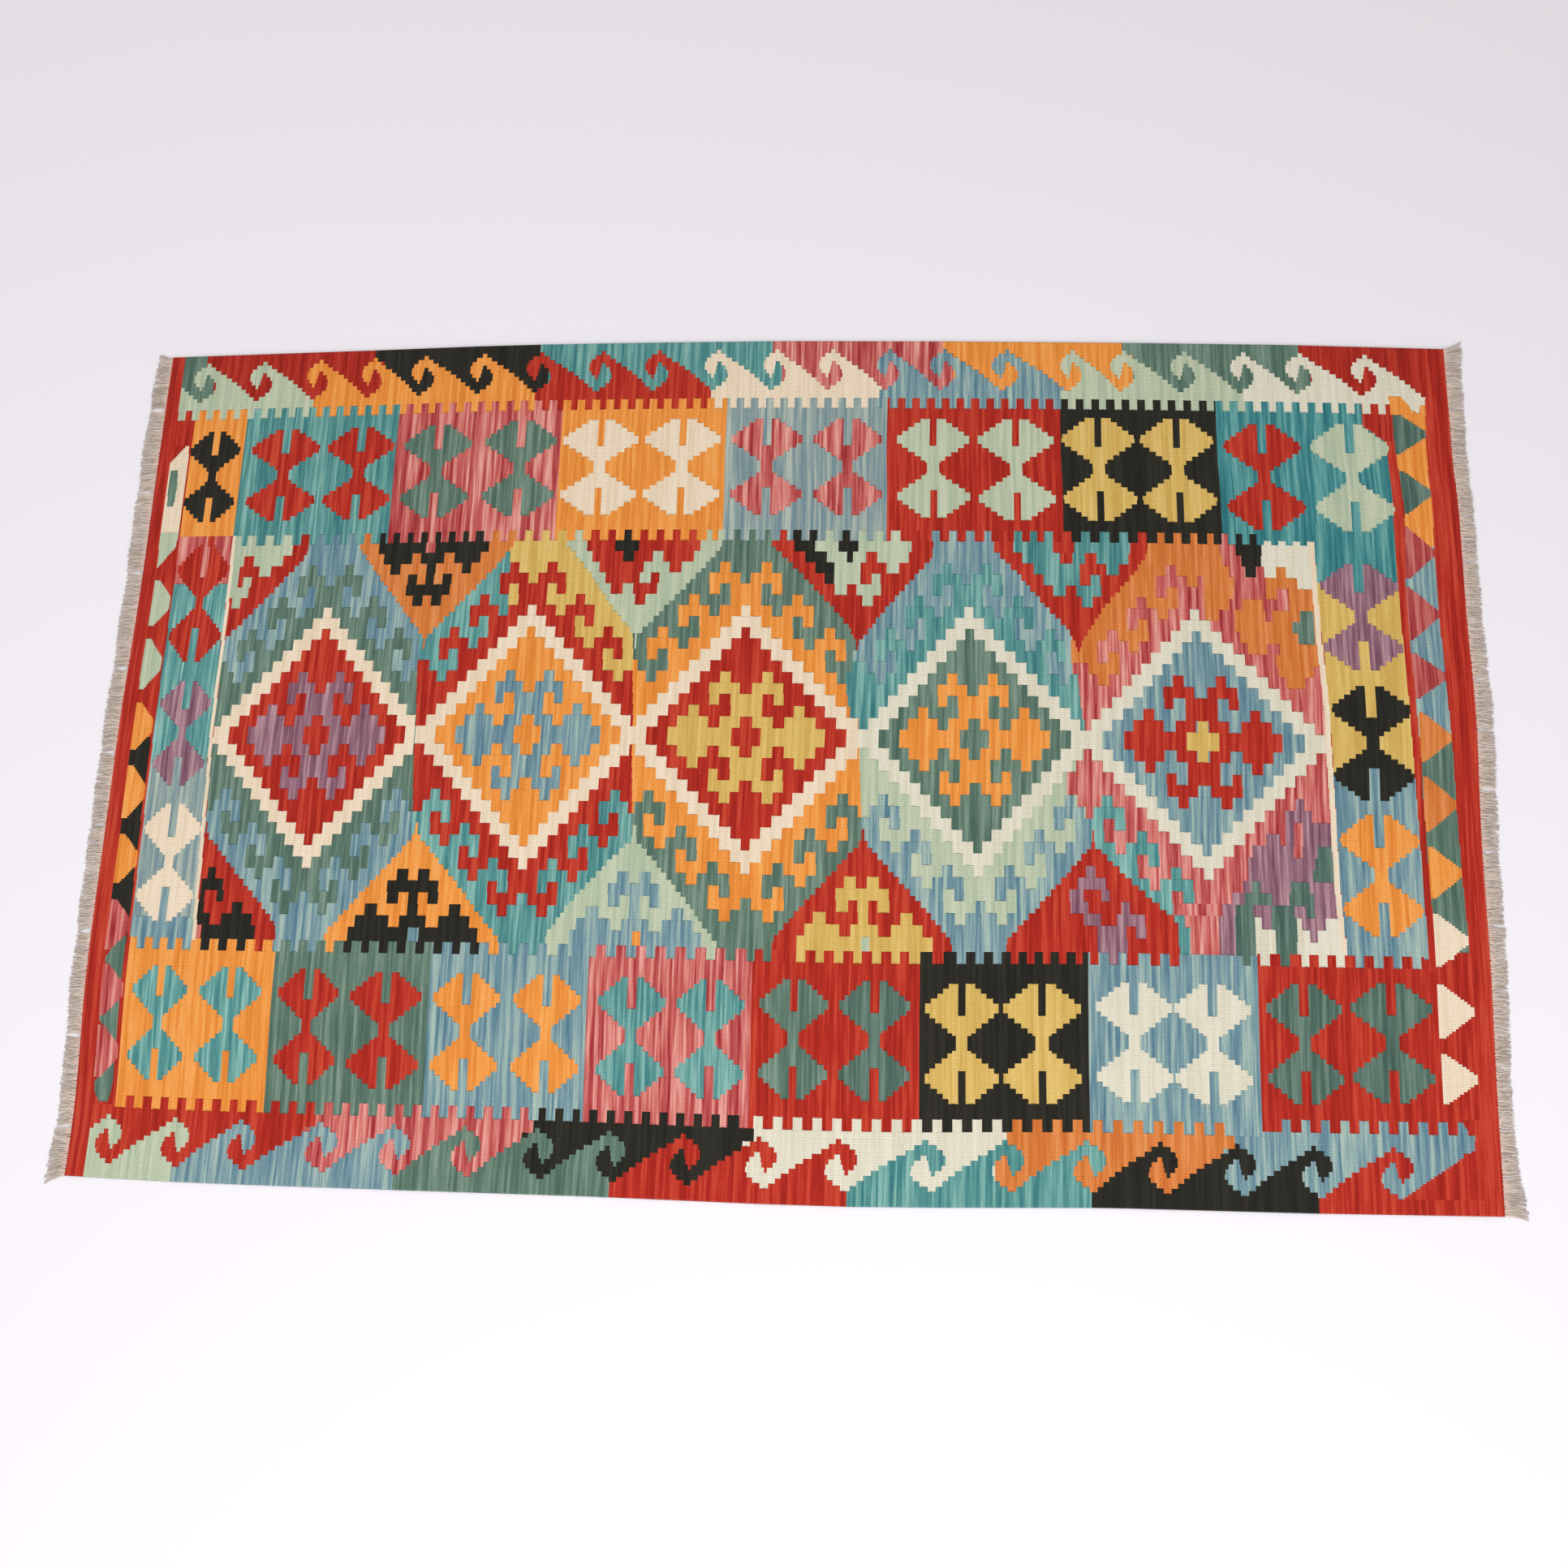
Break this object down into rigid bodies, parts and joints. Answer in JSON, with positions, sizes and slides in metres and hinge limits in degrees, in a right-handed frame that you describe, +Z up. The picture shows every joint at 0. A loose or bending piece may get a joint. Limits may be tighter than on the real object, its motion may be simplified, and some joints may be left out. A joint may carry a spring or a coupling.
{
  "type": "kilim rug",
  "caption": "Flat-woven wool rug with stepped diamonds, a box border and hooked long sides, and short fringe at both ends.",
  "frame": {"origin": "under the middle of the whole rug, on the floor", "axes": "+X along the length, from one fringe to the other, +Y across the rug, +Z up"},
  "size_m": [1.5722, 1.0104, 0.003],
  "materials": {
    "woven_wool": "matt hand-spun wool in slit tapestry, in many dyed colours",
    "warp_fringe": "matt undyed grey-beige wool warp ends"
  },
  "bodies": {
    "root": {"kilim_cloth": "woven_wool", "fringe_left": "warp_fringe", "fringe_right": "warp_fringe"}
  },
  "joints": []
}
